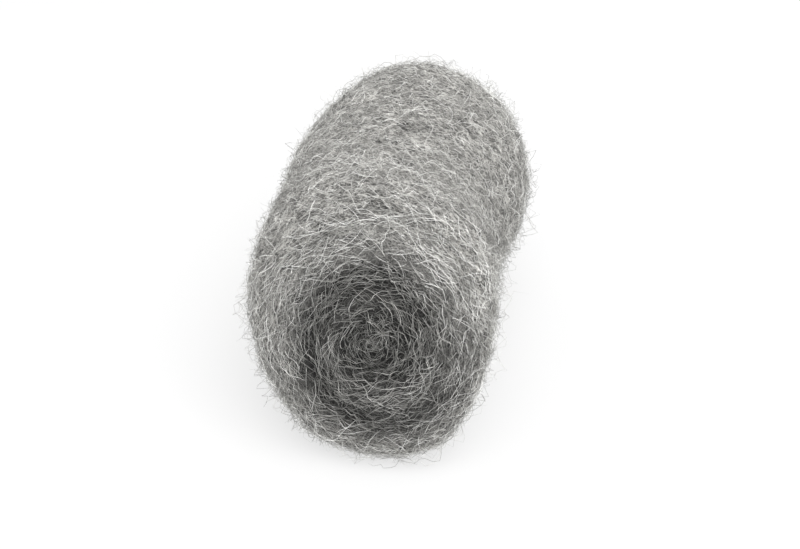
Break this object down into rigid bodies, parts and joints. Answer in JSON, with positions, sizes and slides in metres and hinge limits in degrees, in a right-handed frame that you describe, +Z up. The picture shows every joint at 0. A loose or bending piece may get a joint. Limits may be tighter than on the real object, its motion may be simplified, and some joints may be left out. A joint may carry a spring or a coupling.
{
  "type": "steel wool bundle",
  "caption": "Soft roll of fine steel wool, wound from one fluffy batt, lying on its side with its spiral end forward.",
  "frame": {"origin": "on the surface it lies on, under the centre of its bounding box", "axes": "+Z up; +Y along the roll's axis, from the front spiral end to the rear one; +X to the right seen from the front"},
  "size_m": [0.058, 0.0982, 0.0565],
  "materials": {
    "steel_wool": "matted fine steel fibres, dull grey with bright threads"
  },
  "bodies": {
    "root": {"wool_roll": "steel_wool"}
  },
  "joints": []
}
